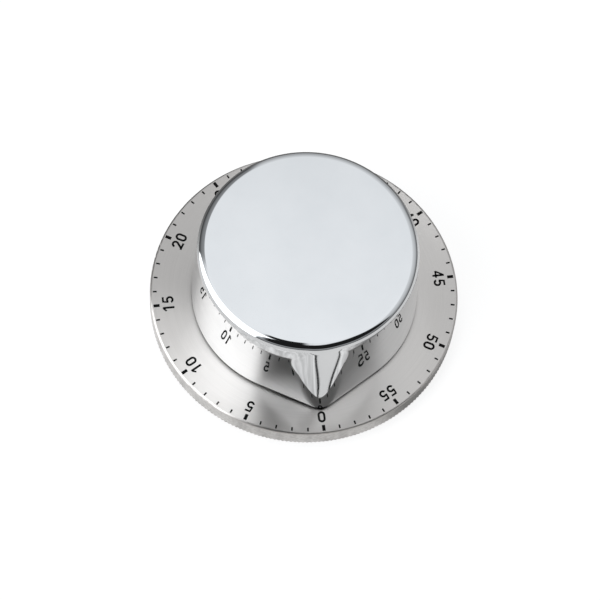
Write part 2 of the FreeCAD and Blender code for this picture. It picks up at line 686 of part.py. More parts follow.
# ---- movement frame ----
def plate_blank(low):
    plate = cylinder(PLATE_RADIUS, low, low + PLATE_THICKNESS)
    beside = polar(PLATE_RADIUS + SCALLOP_RADIUS - SCALLOP_DEPTH, SCALLOP_ANGLE)
    plate = plate.cut(cylinder(SCALLOP_RADIUS, low, low + PLATE_THICKNESS, beside))
    tenon_hole = cylinder(PILLAR_TENON + SCREW_FIT, low, low + PLATE_THICKNESS, polar(PILLAR_CIRCLE, 0))
    pivots = [cylinder(PIVOT_RADIUS + RUNNING_FIT, low, low + PLATE_THICKNESS, at) for at in PIVOTED]
    return plate.cut(around(tenon_hole, PILLARS, PILLAR_ANGLE) + pivots)


def lower_plate():
    low, high = LOWER_PLATE_Z, LOWER_TOP_Z
    screw_hole = cylinder(SCREW_RADIUS + SCREW_FIT, low, high, polar(BOSS_CIRCLE, 0))
    cuts = around(screw_hole, BOSSES, BOSS_ANGLE)
    cuts.append(cylinder(LOWER_JOURNAL + RUNNING_FIT + BUSH_WALL, low, high))
    cuts.append(cylinder(STAFF_RADIUS + RUNNING_FIT, low, high, HAMMER))
    cuts.append(cylinder(STUD_TENON, low, high, polar(SPRING_STUD_CIRCLE, SPRING_STUD_ANGLE)))
    return plate_blank(low).cut(cuts)


def upper_plate():
    """Upper plate with a tab bent up as the knob's end stop."""
    low, high = UPPER_PLATE_Z, UPPER_TOP_Z
    cuts = [cylinder(TOP_JOURNAL + RUNNING_FIT + BUSH_WALL, low, high)]
    cuts.append(cylinder(PIVOT_RADIUS + RUNNING_FIT, low, high, HAMMER))
    half = PLATE_THICKNESS / 2
    tab = box(STOP_CIRCLE, STOP_CIRCLE + STOP_DEPTH, -half, half, low, high + STOP_TAB_HEIGHT)
    return joined([plate_blank(low).cut(cuts)] + around(tab, 1, STOP_ANGLE))


def pillars():
    at = polar(PILLAR_CIRCLE, 0)
    steps = [(PILLAR_RIVET_RADIUS, LOWER_PLATE_Z), (PILLAR_TENON, LOWER_TOP_Z)]
    steps += [(PILLAR_RADIUS, UPPER_PLATE_Z), (PILLAR_TENON, UPPER_TOP_Z + NUT_HEIGHT + PILLAR_THREAD_PROUD)]
    pillar = stepped(at, LOWER_PLATE_Z - PILLAR_RIVET, steps)
    return Part.makeCompound(around(pillar, PILLARS, PILLAR_ANGLE))


def pillar_nuts():
    at = polar(PILLAR_CIRCLE, 0)
    low, high = UPPER_TOP_Z, UPPER_TOP_Z + NUT_HEIGHT
    nut = prism([polar(NUT_RADIUS, 60 * corner, at) for corner in range(6)], low, high)
    nut = nut.cut(cylinder(PILLAR_TENON, low, high, at))
    return Part.makeCompound(around(nut, PILLARS, PILLAR_ANGLE))


def bush(journal, low, high):
    bore = journal + RUNNING_FIT
    return ring(bore + BUSH_WALL, bore, low, high)


def spring_stud():
    at = polar(SPRING_STUD_CIRCLE, SPRING_STUD_ANGLE)
    steps = [(STUD_TENON, LOWER_TOP_Z), (SPRING_STUD_RADIUS, SPRING_Z + SPRING_HEIGHT)]
    return stepped(at, LOWER_PLATE_Z, steps)


# ---- main arbor and what it carries ----
def main_arbor():
    groove_z = LOWER_PLATE_Z - GROOVE_WIDTH
    steps = [(LOWER_JOURNAL, groove_z), (GROOVE_RADIUS, LOWER_PLATE_Z)]
    steps += [(LOWER_JOURNAL, LOWER_TOP_Z + BUSH_PROUD + STACK_GAP), (ARBOR_RADIUS, MAIN_Z - STACK_GAP)]
    steps += [(SEAT_RADIUS, UPPER_PLATE_Z - END_SHAKE), (TOP_JOURNAL, STOP_Z)]
    staff = stepped(AXIS, groove_z - ARBOR_END, steps)
    return joined([staff, drive_form(0, STOP_Z, DRIVE_END_Z)])


def arbor_clip():
    """Open washer in the arbor's groove, under the lower plate."""
    low = LOWER_PLATE_Z - GROOVE_WIDTH
    high = low + ARBOR_CLIP_THICKNESS
    half = CLIP_OPENING / 2
    clip = ring(ARBOR_CLIP_RADIUS, GROOVE_RADIUS, low, high)
    return clip.cut(box(-half, half, 0, ARBOR_CLIP_RADIUS, low, high))


def spiral(inner, outer, turns, end_angle, z):
    """Evenly widening spiral of half-turn arcs that ends at end_angle."""
    def at(half):
        share = half / (2 * turns)
        point = polar(inner + (outer - inner) * share, end_angle - 360 * turns * (1 - share))
        return V(point.x, point.y, z)
    return [Part.Arc(at(k), at(k + 0.5), at(k + 1)).toShape() for k in range(2 * turns)]


def mainspring():
    """Flat steel ribbon, coiled from the arbor to an eye on its stud."""
    half = SPRING_THICKNESS / 2
    inner = ARBOR_RADIUS + half
    outer = SPRING_STUD_CIRCLE - SPRING_STUD_RADIUS - half
    near = spiral(inner - half, outer - half, SPRING_TURNS, SPRING_STUD_ANGLE, SPRING_Z)
    far = spiral(inner + half, outer + half, SPRING_TURNS, SPRING_STUD_ANGLE, SPRING_Z)
    ends = [
        Part.makeLine(near[0].Vertexes[0].Point, far[0].Vertexes[0].Point),
        Part.makeLine(near[-1].Vertexes[-1].Point, far[-1].Vertexes[-1].Point),
    ]
    face = Part.Face(Part.Wire(Part.__sortEdges__(near + far + ends)))
    ribbon = face.extrude(V(0, 0, SPRING_HEIGHT))
    stud = polar(SPRING_STUD_CIRCLE, SPRING_STUD_ANGLE)
    top = SPRING_Z + SPRING_HEIGHT
    loop = ring(SPRING_STUD_RADIUS + SPRING_THICKNESS, SPRING_STUD_RADIUS, SPRING_Z, top, stud)
    return joined([ribbon, loop])


def ratchet_wheel():
    points = []
    steep = CLICK_FACE_ANGLE - CLICK_PLAY
    for tooth in range(RATCHET_TEETH):
        angle = steep + 360 * tooth / RATCHET_TEETH
        points += [polar(RATCHET_RADIUS, angle), polar(RATCHET_ROOT, angle)]
    return prism(points, RATCHET_Z, CLICK_TOP_Z).cut(cylinder(SEAT_RADIUS, RATCHET_Z, CLICK_TOP_Z))


def alarm_cam():
    """Disc with one notch, ramped on its far side: the release lever drops into it at minute 0."""
    low, high = CAM_Z, CAM_Z + CAM_THICKNESS
    floor = CAM_RADIUS - CAM_NOTCH_DEPTH
    reach = CAM_RADIUS + CAM_NOTCH_DEPTH
    start = LEVER_NOSE_ANGLE - CAM_NOTCH_BEHIND
    end = LEVER_NOSE_ANGLE + CAM_NOTCH_AHEAD
    corners = [polar(2 * reach, angle) for angle in (start, LEVER_NOSE_ANGLE, end)]
    notch = ring(reach, floor, low, high).common(prism([AXIS] + corners, low, high))
    top = end + CAM_RAMP
    ramp = [polar(floor, end), polar(reach, end), polar(reach, top), polar(CAM_RADIUS, top)]
    disc = cylinder(CAM_RADIUS, low, high).cut([notch, prism(ramp, low, high)])
    return disc.cut(cylinder(SEAT_RADIUS, low, high))


def stop_arm():
    """Arm on the arbor whose lug meets the plate's tab at both ends of the knob's travel."""
    low, high = STOP_Z, STOP_Z + STOP_ARM_THICKNESS
    outer = STOP_CIRCLE + STOP_DEPTH
    tab_half = math.degrees(math.asin((PLATE_THICKNESS / 2 + STOP_CLEARANCE) / STOP_CIRCLE))
    lug_half = (360 - KNOB_TRAVEL) / 2 - tab_half
    centre = STOP_ANGLE - tab_half - lug_half
    near = STOP_CIRCLE - STOP_LUG_ROOT
    arm = bar(AXIS, polar(near, centre), STOP_ARM_WIDTH, low, high)
    lug = [polar(near, centre - lug_half), polar(outer, centre - lug_half)]
    lug += [polar(outer, centre + lug_half), polar(near, centre + lug_half)]
    body = joined([cylinder(STOP_HUB_RADIUS, low, high), arm, prism(lug, low, high)])
    return body.cut(drive_form(DRIVE_FIT, low, high))


# ---- main wheel with its click ----
CLICK = polar(CLICK_CIRCLE, CLICK_ANGLE)
CLICK_LENGTH = math.sqrt(CLICK_CIRCLE**2 - CLICK_BITE**2)
CLICK_FACE_ANGLE = CLICK_ANGLE - math.degrees(math.acos(CLICK_BITE / CLICK_CIRCLE))
CLICK_SPRING_PIN = polar(CLICK_CIRCLE + CLICK_SPRING_OUT, CLICK_FACE_ANGLE - CLICK_SPRING_BEHIND)


def main_wheel():
    low, high = MAIN_Z, MAIN_Z + MAIN_THICKNESS
    body = wheel(MAIN_TEETH, MAIN_MODULE, SECOND_PINION_TEETH, AXIS, SECOND_ANGLE, low, high)
    cuts = [cylinder(SEAT_RADIUS + RUNNING_FIT, low, high), cylinder(PIVOT_RADIUS, low, high, CLICK)]
    cuts.append(cylinder(PIVOT_RADIUS, low, high, CLICK_SPRING_PIN))
    lightening = cylinder(LIGHTENING_RADIUS, low, high, polar(LIGHTENING_CIRCLE, 0))
    return body.cut(cuts + around(lightening, 3, CLICK_ANGLE + 70))


def click():
    """Pawl that bites into the ratchet wheel along a tangent, so that it lifts straight out."""
    low, high = RATCHET_Z, CLICK_TOP_Z
    bite = polar(CLICK_BITE, CLICK_FACE_ANGLE)
    outward = polar(1, CLICK_FACE_ANGLE)
    along = V(-outward.y, outward.x, 0)

    def at(forward, out):
        return bite + along * forward + outward * out

    face = [at(0, -CLICK_NOSE_DEPTH), at(0, CLICK_NOSE_RISE)]
    heel = [at(CLICK_NOSE_LENGTH, CLICK_NOSE_RISE), at(CLICK_NOSE_LENGTH, CLICK_HEEL)]
    nose = prism(face + heel, low, high)
    arm = bar(at(CLICK_NOSE_LENGTH, CLICK_ARM_OFFSET), CLICK, CLICK_ARM, low, high)
    body = joined([nose, arm, cylinder(CLICK_HUB, low, high, CLICK)])
    return body.cut(cylinder(PIVOT_RADIUS + RUNNING_FIT, low, high, CLICK))


def click_rivet():
    top = CLICK_TOP_Z + SECOND_ABOVE_CLICK / 2
    steps = [(PIVOT_RADIUS, CLICK_TOP_Z + RUNNING_FIT), (CLICK_RIVET_HEAD, top)]
    return stepped(CLICK, MAIN_Z, steps)


def click_spring():
    """Leaf that holds the click down, with its eye on a pin of the main wheel."""
    low, high = RATCHET_Z, CLICK_TOP_Z
    pin = PIVOT_RADIUS
    eye = ring(pin + LEAF, pin, low, high, CLICK_SPRING_PIN)
    outward = polar(1, CLICK_FACE_ANGLE)
    along = V(-outward.y, outward.x, 0)
    rise = CLICK_ARM_OFFSET + CLICK_ARM / 2 + LEAF
    touch = polar(CLICK_BITE, CLICK_FACE_ANGLE) + along * CLICK_SPRING_TOUCH + outward * rise
    towards = V(touch.x - CLICK_SPRING_PIN.x, touch.y - CLICK_SPRING_PIN.y, 0).normalize()
    start = CLICK_SPRING_PIN + towards * (pin + LEAF / 2)
    return joined([eye, bar(start, touch, LEAF, low, high)])


def click_spring_pin():
    return stepped(CLICK_SPRING_PIN, MAIN_Z, [(PIVOT_RADIUS, CLICK_TOP_Z + SECOND_ABOVE_CLICK / 2)])


# ---- train ----
def staff_steps(pinion_low, pinion_high, seat):
    """Steps of a train arbor: plain staff, pinion core, shoulder under the wheel, staff again."""
    steps = [(PIVOT_RADIUS, LOWER_TOP_Z + END_SHAKE), (STAFF_RADIUS, pinion_high)]
    steps += [(SHOULDER_RADIUS, seat), (STAFF_RADIUS, UPPER_PLATE_Z - END_SHAKE)]
    steps.append((PIVOT_RADIUS, UPPER_TOP_Z + PIVOT_PROUD))
    return steps


def pinion_arbor(at, teeth, module, phase, mesh_low, mesh_high, seat):
    low = mesh_low - PINION_OVERHANG
    high = mesh_high + PINION_OVERHANG
    staff = stepped(at, LOWER_PLATE_Z - PIVOT_PROUD, staff_steps(low, high, seat))
    return joined([staff, pinion(teeth, module, at, phase, low, high)])


def second_arbor():
    phase = mesh_phase(SECOND_PINION_TEETH, direction(SECOND, AXIS))
    top = MAIN_Z + MAIN_THICKNESS
    return pinion_arbor(SECOND, SECOND_PINION_TEETH, MAIN_MODULE, phase, MAIN_Z, top, SECOND_Z)


def second_wheel():
    low, high = SECOND_Z, SECOND_Z + WHEEL_THICKNESS
    body = wheel(SECOND_TEETH, SECOND_MODULE, THIRD_PINION_TEETH, SECOND, direction(SECOND, THIRD), low, high)
    pitch = SECOND_MODULE * SECOND_TEETH / 2
    body = crossed(body, SECOND, pitch * HUB_SHARE, pitch * RIM_SHARE, SPOKES, SPOKE_WIDTH, low, high)
    return body.cut(cylinder(STAFF_RADIUS, low, high, SECOND))


def third_arbor():
    phase = mesh_phase(THIRD_PINION_TEETH, direction(THIRD, SECOND))
    top = SECOND_Z + WHEEL_THICKNESS
    return pinion_arbor(THIRD, THIRD_PINION_TEETH, SECOND_MODULE, phase, SECOND_Z, top, THIRD_Z)


def third_wheel():
    low, high = THIRD_Z, THIRD_Z + WHEEL_THICKNESS
    body = wheel(THIRD_TEETH, THIRD_MODULE, ESCAPE_PINION_TEETH, THIRD, direction(THIRD, ESCAPE), low, high)
    pitch = THIRD_MODULE * THIRD_TEETH / 2
    body = crossed(body, THIRD, pitch * HUB_SHARE, pitch * RIM_SHARE, SPOKES, SPOKE_WIDTH, low, high)
    return body.cut(cylinder(STAFF_RADIUS, low, high, THIRD))


def escape_arbor():
    phase = mesh_phase(ESCAPE_PINION_TEETH, direction(ESCAPE, THIRD))
    top = THIRD_Z + WHEEL_THICKNESS
    return pinion_arbor(ESCAPE, ESCAPE_PINION_TEETH, THIRD_MODULE, phase, THIRD_Z, top, ESCAPE_Z)


def escape_wheel():
    low, high = ESCAPE_Z, ESCAPE_Z + WHEEL_THICKNESS
    towards = direction(ESCAPE, BALANCE)
    teeth = (ESCAPE_TEETH, ESCAPE_RADIUS, ESCAPE_ROOT, ESCAPE_TOOTH_TIP, ESCAPE_TOOTH_ROOT)
    body = pointed_wheel(*teeth, ESCAPE, towards, low, high)
    body = crossed(body, ESCAPE, ESCAPE_HUB, ESCAPE_RIM, ESCAPE_SPOKES, ESCAPE_SPOKE_WIDTH, low, high)
    return body.cut(cylinder(STAFF_RADIUS, low, high, ESCAPE))


def strike_arbor():
    phase = mesh_phase(STRIKE_PINION_TEETH, direction(STRIKE, AXIS))
    phase += STRIKE_MESH_TURN
    top = MAIN_Z + MAIN_THICKNESS
    return pinion_arbor(STRIKE, STRIKE_PINION_TEETH, MAIN_MODULE, phase, MAIN_Z, top, STAR_Z)


# The main wheel's tooth points at the second arbor, so the strike pinion takes up what is left of a
# tooth pitch on the line to the strike arbor.
MAIN_PITCH = 360 / MAIN_TEETH
STRIKE_MESH_TURN = ((STRIKE_ANGLE - SECOND_ANGLE) % MAIN_PITCH) * MAIN_TEETH / STRIKE_PINION_TEETH


def star_wheel():
    low, high = STAR_Z, STAR_Z + STAR_THICKNESS
    phase = TAIL_ANGLE + 180 / STAR_TEETH
    teeth = (STAR_TEETH, STAR_RADIUS, STAR_ROOT, STAR_TOOTH_TIP, STAR_TOOTH_ROOT)
    body = pointed_wheel(*teeth, STRIKE, phase, low, high)
    return body.cut(cylinder(STAFF_RADIUS, low, high, STRIKE))


# ---- balance ----
def balance_arbor():
    steps = [(PIVOT_RADIUS, LOWER_TOP_Z + END_SHAKE), (SHOULDER_RADIUS, BALANCE_Z)]
    steps.append((STAFF_RADIUS, UPPER_PLATE_Z - END_SHAKE))
    steps.append((PIVOT_RADIUS, UPPER_TOP_Z + PIVOT_PROUD))
    return stepped(BALANCE, LOWER_PLATE_Z - PIVOT_PROUD, steps)


def balance_wheel():
    low, high = BALANCE_Z, BALANCE_Z + BALANCE_THICKNESS
    rim = ring(BALANCE_RADIUS, BALANCE_RADIUS - BALANCE_RIM, low, high, BALANCE)
    towards = direction(BALANCE, ESCAPE)
    reach = BALANCE_RADIUS - BALANCE_RIM / 2
    spoke = bar(polar(reach, towards, BALANCE), polar(reach, towards + 180, BALANCE), BALANCE_RIM, low, high)
    hub = cylinder(BALANCE_HUB, low, high, BALANCE)
    return joined([rim, spoke, hub]).cut(cylinder(STAFF_RADIUS, low, high, BALANCE))


def pin_places():
    towards = direction(ESCAPE, BALANCE)
    spread = math.degrees(PIN_SPREAD)
    return [polar(PIN_CIRCLE, towards + side * spread, ESCAPE) for side in (-1, 1)]


def pallet():
    low, high = PALLET_Z, PALLET_Z + PALLET_THICKNESS
    arms = [bar(BALANCE, place, ARM_WIDTH, low, high) for place in pin_places()]
    hub = cylinder(SHOULDER_RADIUS, low, high, BALANCE)
    cuts = [cylinder(STAFF_RADIUS, low, high, BALANCE)]
    cuts += [cylinder(PALLET_PIN_RADIUS, low, high, place) for place in pin_places()]
    return joined(arms + [hub]).cut(cuts)


def pallet_pins():
    low, high = ESCAPE_Z - PALLET_PIN_BELOW, PALLET_Z + PALLET_THICKNESS
    return Part.makeCompound([cylinder(PALLET_PIN_RADIUS, low, high, place) for place in pin_places()])


# ---- alarm ----
def hammer_arbor():
    """Arbor that passes down through the lower plate and carries a kick arm for its spring."""
    low = LOWER_TOP_Z + KICK_ABOVE_PLATE
    steps = [(STAFF_RADIUS, LOWER_TOP_Z + END_SHAKE), (SHOULDER_RADIUS, low)]
    steps += [(STAFF_RADIUS, UPPER_PLATE_Z - END_SHAKE), (PIVOT_RADIUS, UPPER_TOP_Z + PIVOT_PROUD)]
    staff = stepped(HAMMER, HAMMER_Z, steps)
    kick = bar(HAMMER, HAMMER - V(KICK_LENGTH, 0, 0), KICK_WIDTH, low, low + KICK_THICKNESS)
    return joined([staff, kick])


def hammer_tail():
    """Bent tail whose nose the star wheel lifts."""
    low, high = STAR_Z, STAR_Z + STAR_THICKNESS
    elbow = polar(TAIL_CIRCLE + TAIL_ELBOW, TAIL_ANGLE, STRIKE)
    width = TAIL_NOSE * 2
    arms = [bar(HAMMER, elbow, width, low, high), bar(elbow, TAIL, width, low, high)]
    body = joined(arms + [cylinder(SHOULDER_RADIUS, low, high, HAMMER)])
    return body.cut(cylinder(STAFF_RADIUS, low, high, HAMMER))


def hammer_arm():
    low, high = HAMMER_Z, HAMMER_Z + HAMMER_ARM_THICKNESS
    body = joined([bar(HAMMER, HEAD, ARM_WIDTH, low, high), cylinder(SHOULDER_RADIUS, low, high, HAMMER)])
    return body.cut([cylinder(STAFF_RADIUS, low, high, HAMMER), cylinder(PIVOT_RADIUS, low, high, HEAD)])


def hammer_head():
    steps = [(HAMMER_HEAD_RADIUS, HAMMER_Z), (PIVOT_RADIUS, HAMMER_Z + HAMMER_ARM_THICKNESS)]
    return stepped(HEAD, HAMMER_Z - HAMMER_HEAD_HEIGHT, steps)


def leaf_spring(anchor, eye_radius, touch, low, high):
    """Leaf with an eye around its anchor and a straight blade to the piece that it presses."""
    towards = V(touch.x - anchor.x, touch.y - anchor.y, 0).normalize()
    start = anchor + towards * (eye_radius + LEAF / 2)
    eye = ring(eye_radius + LEAF, eye_radius, low, high, anchor)
    return joined([eye, bar(start, touch, LEAF, low, high)])


def hammer_spring():
    middle = LOWER_TOP_Z + KICK_ABOVE_PLATE + KICK_THICKNESS / 2
    anchor = polar(PILLAR_CIRCLE, PILLAR_ANGLE + 180)
    touch = HAMMER + V(KICK_WIDTH / 2 - KICK_LENGTH, KICK_WIDTH / 2 + LEAF, 0)
    return leaf_spring(anchor, PILLAR_RADIUS, touch, middle - LEAF_WIDTH / 2, middle + LEAF_WIDTH / 2)


def lever_arbor():
    steps = [(PIVOT_RADIUS, LOWER_TOP_Z + END_SHAKE), (STAFF_RADIUS, UPPER_PLATE_Z - END_SHAKE)]
    steps.append((PIVOT_RADIUS, UPPER_TOP_Z + PIVOT_PROUD))
    return stepped(LEVER, LOWER_PLATE_Z - PIVOT_PROUD, steps)


def release_lever():
    """Rides on the cam; when its nose drops into the notch, its finger frees the hammer."""
    low, high = CAM_Z, CAM_Z + CAM_THICKNESS
    finger = HAMMER + V(CATCH_LENGTH, ARM_WIDTH + CATCH_GAP, 0)
    arms = [bar(LEVER, LEVER_NOSE, ARM_WIDTH, low, high), bar(LEVER, finger, ARM_WIDTH, low, high)]
    nose = cylinder(LEVER_NOSE_RADIUS, low, high, LEVER_NOSE)
    hub = cylinder(SHOULDER_RADIUS, low, high, LEVER)
    return joined(arms + [nose, hub]).cut(cylinder(STAFF_RADIUS, low, high, LEVER))


def hammer_catch():
    """Short arm on the hammer's arbor that the release lever's finger holds back."""
    low, high = CAM_Z, CAM_Z + CAM_THICKNESS
    arm = bar(HAMMER, HAMMER + V(CATCH_LENGTH, 0, 0), ARM_WIDTH, low, high)
    body = joined([arm, cylinder(SHOULDER_RADIUS, low, high, HAMMER)])
    return body.cut(cylinder(STAFF_RADIUS, low, high, HAMMER))


def lever_spring():
    anchor = polar(PILLAR_CIRCLE, PILLAR_ANGLE + 180)
    along = V(LEVER_NOSE.x - LEVER.x, LEVER_NOSE.y - LEVER.y, 0)
    outward = V(-along.y, along.x, 0).normalize()
    touch = LEVER + along * 0.7 + outward * (ARM_WIDTH / 2 + LEAF)
    return leaf_spring(anchor, PILLAR_RADIUS, touch, CAM_Z, CAM_Z + CAM_THICKNESS)


PIECES = {
    "dial_shell": dial_shell,
    "back_tray": back_tray,
    "magnets": magnets,
    "tray_screws": tray_screws,
    "gong": gong,
    "gong_screw": gong_screw,
    "lower_plate": lower_plate,
    "upper_plate": upper_plate,
    "pillars": pillars,
    "pillar_nuts": pillar_nuts,
    "spring_stud": spring_stud,
    "mainspring": mainspring,
    "knob_shell": knob_shell,
    "knob_clip": knob_clip,
    "main_arbor": main_arbor,
    "arbor_clip": arbor_clip,
    "ratchet_wheel": ratchet_wheel,
    "alarm_cam": alarm_cam,
    "stop_arm": stop_arm,
    "main_wheel": main_wheel,
    "click": click,
    "click_rivet": click_rivet,
    "click_spring": click_spring,
    "click_spring_pin": click_spring_pin,
    "second_arbor": second_arbor,
    "second_wheel": second_wheel,
    "third_arbor": third_arbor,
    "third_wheel": third_wheel,
    "escape_arbor": escape_arbor,
    "escape_wheel": escape_wheel,
    "strike_arbor": strike_arbor,
    "star_wheel": star_wheel,
    "balance_arbor": balance_arbor,
    "balance_wheel": balance_wheel,
    "pallet": pallet,
    "pallet_pins": pallet_pins,
    "hammer_arbor": hammer_arbor,
    "hammer_tail": hammer_tail,
    "hammer_catch": hammer_catch,
    "hammer_arm": hammer_arm,
    "hammer_head": hammer_head,
    "hammer_spring": hammer_spring,
    "lever_arbor": lever_arbor,
    "release_lever": release_lever,
    "lever_spring": lever_spring,
}

os.makedirs("parts", exist_ok=True)
for name, make in PIECES.items():
    save(name, make())
save("lower_bush", bush(LOWER_JOURNAL, LOWER_PLATE_Z, LOWER_TOP_Z + BUSH_PROUD))
save("upper_bush", bush(TOP_JOURNAL, UPPER_PLATE_Z, UPPER_TOP_Z + BUSH_PROUD))
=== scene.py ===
"""Kitchen timer with a chromed pointer knob: finishes, printed dial, knob cap, floor and light."""

import json
import math

import bpy
from mathutils import Matrix, Vector

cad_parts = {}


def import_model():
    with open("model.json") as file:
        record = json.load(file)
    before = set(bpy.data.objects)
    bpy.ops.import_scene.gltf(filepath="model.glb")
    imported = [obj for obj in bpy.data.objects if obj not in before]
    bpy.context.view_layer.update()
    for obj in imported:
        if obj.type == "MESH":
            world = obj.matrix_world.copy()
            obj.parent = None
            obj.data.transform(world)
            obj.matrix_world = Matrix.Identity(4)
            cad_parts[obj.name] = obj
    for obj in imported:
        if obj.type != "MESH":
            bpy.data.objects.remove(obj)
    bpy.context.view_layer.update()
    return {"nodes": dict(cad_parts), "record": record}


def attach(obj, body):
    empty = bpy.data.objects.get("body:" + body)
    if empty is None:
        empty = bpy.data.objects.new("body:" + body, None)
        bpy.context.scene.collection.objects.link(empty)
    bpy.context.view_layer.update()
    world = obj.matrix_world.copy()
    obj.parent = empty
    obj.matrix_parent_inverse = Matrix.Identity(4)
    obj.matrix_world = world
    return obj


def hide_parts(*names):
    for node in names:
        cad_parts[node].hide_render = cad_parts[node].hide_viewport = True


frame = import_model()
nodes = frame["nodes"]

MM = 0.001
DIAL_FACE = 5.8 * MM
INK = 0.03 * MM

# ---- camera ----
AZIMUTH = math.radians(-12.745)
ELEVATION = math.radians(64.92)
ROLL = math.radians(5.907)
DISTANCE = 625.7 * MM
ASIDE = 1.051 * MM
ABOVE = 2.246 * MM
LENS = 148.4
SENSOR = 36


def set_camera():
    """Looks down at the dial from the front, turned a little about its own line of sight."""
    back = Vector((
        math.sin(AZIMUTH) * math.cos(ELEVATION),
        -math.cos(AZIMUTH) * math.cos(ELEVATION),
        math.sin(ELEVATION),
    ))
    right = (-back).cross(Vector((0, 0, 1))).normalized()
    up = right.cross(-back)
    right_rolled = right * math.cos(ROLL) + up * math.sin(ROLL)
    up_rolled = up * math.cos(ROLL) - right * math.sin(ROLL)
    data = bpy.data.cameras.new("product_camera")
    data.sensor_width = SENSOR
    data.lens = LENS
    data.clip_start = 0.01
    data.clip_end = 50
    camera = bpy.data.objects.new("product_camera", data)
    bpy.context.collection.objects.link(camera)
    place = Vector((0, 0, DIAL_FACE)) + back * DISTANCE - right_rolled * ASIDE - up_rolled * ABOVE
    turn = Matrix((right_rolled, up_rolled, back)).transposed()
    camera.matrix_world = Matrix.Translation(place) @ turn.to_4x4()
    bpy.context.scene.camera = camera


# ---- shader maths ----
class Value:
    """A socket that carries a number, for expressions."""

    def __init__(self, finish, socket):
        self.finish = finish
        self.socket = socket

    def reckon(self, operation, *terms):
        """Adds a Math node that works on the terms in turn."""
        return self.finish.node("ShaderNodeMath", {"operation": operation}, dict(enumerate(terms)))

    def __add__(self, other):
        return self.reckon("ADD", self, other)

    def __sub__(self, other):
        return self.reckon("SUBTRACT", self, other)

    def __rsub__(self, other):
        return self.reckon("SUBTRACT", other, self)

    def __mul__(self, other):
        return self.reckon("MULTIPLY", self, other)

    def __truediv__(self, other):
        return self.reckon("DIVIDE", self, other)

    def __pow__(self, other):
        return self.reckon("POWER", self, other)

    __radd__ = __add__
    __rmul__ = __mul__


class Finish:
    """A material, or the world, and the nodes that make its look."""

    def __init__(self, owner):
        owner.use_nodes = True
        self.owner = owner
        self.tree = owner.node_tree
        self.tree.nodes.clear()

    def node(self, kind, settings=None, sockets=None, output=0):
        """Adds a node: its settings first, then a value or a link on each socket. Gives one output."""
        made = self.tree.nodes.new(kind)
        for name, value in (settings or {}).items():
            if name == "stops":
                ramp = made.color_ramp.elements
                while len(ramp) < len(value):
                    ramp.new(0.5)
                for stop, (place, colour) in zip(ramp, value):
                    stop.position = place
                    stop.color = colour
            else:
                setattr(made, name, value)
        for name, value in (sockets or {}).items():
            if isinstance(value, Value):
                self.tree.links.new(value.socket, made.inputs[name])
            else:
                made.inputs[name].default_value = value
        return Value(self, made.outputs[output])

    def show(self, kind, surface):
        """Sends the last shader to the output."""
        end = self.tree.nodes.new(kind)
        self.tree.links.new(surface.socket, end.inputs["Surface"])


def grey(level, warm=0.0):
    """A grey, with its red raised and its blue lowered where it is warm."""
    return (level * (1 + warm), level, level * (1 - warm), 1)


def new_finish(name):
    return Finish(bpy.data.materials.new(name))


def own_place(finish):
    return finish.node("ShaderNodeTexCoord", output="Object")


def parts_of(finish, vector):
    return [finish.node("ShaderNodeSeparateXYZ", sockets={"Vector": vector}, output=axis) for axis in "XYZ"]


def noise(finish, place, scale, detail):
    return finish.node("ShaderNodeTexNoise", sockets={"Vector": place, "Scale": scale, "Detail": detail})


def blend(finish, share, low, high):
    """A colour between two, which may be colours or sockets."""
    return finish.node("ShaderNodeMix", {"data_type": "RGBA"}, {"Factor": share, 6: low, 7: high}, 2)


def smooth(finish, value, low, high):
    """Rises softly from 0 at low to 1 at high."""
    limits = {"From Min": low, "From Max": high}
    return finish.node("ShaderNodeMapRange", {"interpolation_type": "SMOOTHSTEP"}, {"Value": value, **limits})


def relief(finish, height, strength, depth):
    return finish.node("ShaderNodeBump", sockets={"Height": height, "Strength": strength, "Distance": depth})


def surfaced(finish, sockets):
    """Puts the finish's own shader on its output and gives the material."""
    finish.show("ShaderNodeOutputMaterial", finish.node("ShaderNodeBsdfPrincipled", sockets=sockets))
    return finish.owner


# ---- finishes ----
def metal(name, light, dark, roughness, spread, grain):
    """Metal whose colour and gloss drift between two tones over a fine grain."""
    finish = new_finish(name)
    drift = noise(finish, own_place(finish), grain, 3)
    return surfaced(finish, {
        "Base Color": blend(finish, drift, dark, light),
        "Metallic": 1.0,
        "Roughness": roughness + spread * (drift - 0.5),
    })


RINGS_PER_METRE = 9000
BANDS_PER_METRE = 900
WALL_TOP = 5.6 * MM
WALL_FULL = 5.0 * MM


def brushed_dial():
    """Steel brushed in circles on its face: fine rings in gloss, colour and relief. Its wall is mottled,
    partly dirt and partly a painted reflection of the surroundings.
    """
    finish = new_finish("brushed_dial")
    where = own_place(finish)
    x, y, height = parts_of(finish, where)
    radius = (x * x + y * y) ** 0.5
    angle = finish.node("ShaderNodeMath", {"operation": "ARCTAN2"}, {0: y, 1: x})
    ring_place = finish.node(
        "ShaderNodeCombineXYZ", sockets={"X": radius * RINGS_PER_METRE, "Y": angle * 2.0, "Z": 0.0})
    band_place = finish.node(
        "ShaderNodeCombineXYZ", sockets={"X": radius * BANDS_PER_METRE, "Y": angle * 1.2, "Z": 3.0})
    rings = noise(finish, ring_place, 1.0, 2.0)
    tone = rings * 0.6 + noise(finish, band_place, 1.0, 1.0) * 0.4
    face = blend(finish, tone, (0.675, 0.645, 0.615, 1), (0.825, 0.79, 0.76, 1))
    # The wall's broad light and dark mottle is partly dirt and partly painted reflection.
    mottle_dirt_and_painted_reflection = blend(finish, noise(finish, where, 1300.0, 3.0), (0.49, 0.475, 0.46, 1), (0.97, 0.95, 0.93, 1))
    return surfaced(finish, {
        "Base Color": blend(finish, smooth(finish, height, WALL_TOP, WALL_FULL), face, mottle_dirt_and_painted_reflection),
        "Metallic": 1.0,
        "Roughness": 0.26 + 0.08 * tone,
        "Normal": relief(finish, rings, 0.12, 0.02 * MM),
        "Anisotropic": 0.95,
        "Anisotropic Rotation": 0.25,
    })


